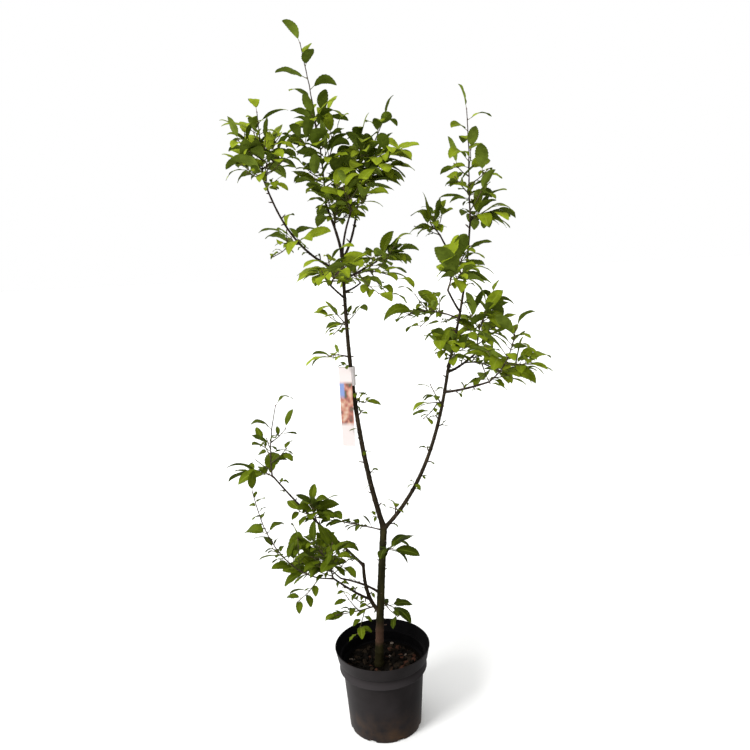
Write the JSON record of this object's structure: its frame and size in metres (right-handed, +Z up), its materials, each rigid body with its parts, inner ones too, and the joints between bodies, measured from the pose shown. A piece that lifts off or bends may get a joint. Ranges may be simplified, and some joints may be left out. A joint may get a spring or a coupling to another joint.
{
  "type": "potted crabapple tree",
  "caption": "Young crabapple tree in a round nursery pot: a forked stem with thin boughs, sparse leafy sprays and a hanging plant tag.",
  "frame": {"origin": "centre of the pot's flat underside, on the surface it stands on", "axes": "+Z up along the tree's height, +X to the right as seen from the front, +Y away from the front"},
  "size_m": [0.8755, 0.6324, 1.9816],
  "materials": {
    "pot": "matte charcoal black, dusty",
    "compost": "rough, dark bark chips and peat",
    "bark": "smooth young bark with pores",
    "foliage": "satin leaves",
    "tag": "thin printed plastic"
  },
  "bodies": {
    "root": {"centre_bough": "bark", "compost": "compost", "crossing_bough": "bark", "crossing_end": "foliage", "crossing_spray": "foliage", "crown_back": "foliage", "crown_back_bough": "bark", "crown_front": "foliage", "crown_front_bough": "bark", "crown_inner": "foliage", "crown_left": "foliage", "crown_left_outer": "foliage", "crown_middle": "foliage", "crown_right": "foliage", "crown_right_outer": "foliage", "crown_top": "foliage", "far_left": "foliage", "fork_twig": "foliage", "inner_bough": "bark", "leader_lower_twig": "foliage", "leader_spur": "foliage", "leader_upper_twig": "foliage", "left_bough_inner": "foliage", "left_bough_outer": "foliage", "left_bough_under": "foliage", "left_leader": "bark", "left_whip": "foliage", "long_bough_twig": "foliage", "long_left_bough": "bark", "low_back": "foliage", "low_back_bough": "bark", "low_front": "foliage", "low_front_bough": "bark", "low_left_twig": "foliage", "low_whip": "foliage", "pot": "pot", "right_back": "foliage", "right_back_bough": "bark", "right_front": "foliage", "right_front_bough": "bark", "right_inner_back": "foliage", "right_inner_twig": "foliage", "right_leader": "bark", "right_low_bough": "bark", "right_low_end": "foliage", "right_outer_bough": "bark", "right_outer_end": "foliage", "right_outer_up": "foliage", "right_spur": "foliage", "right_top": "foliage", "right_upper_leader": "bark", "right_upper_twig": "foliage", "side_stem": "bark", "tag": "tag", "trunk": "bark", "trunk_left_twig": "foliage", "trunk_low_twig": "foliage", "trunk_right_twig": "foliage", "upper_left_bough": "bark", "upper_right_bough": "bark"}
  },
  "joints": []
}
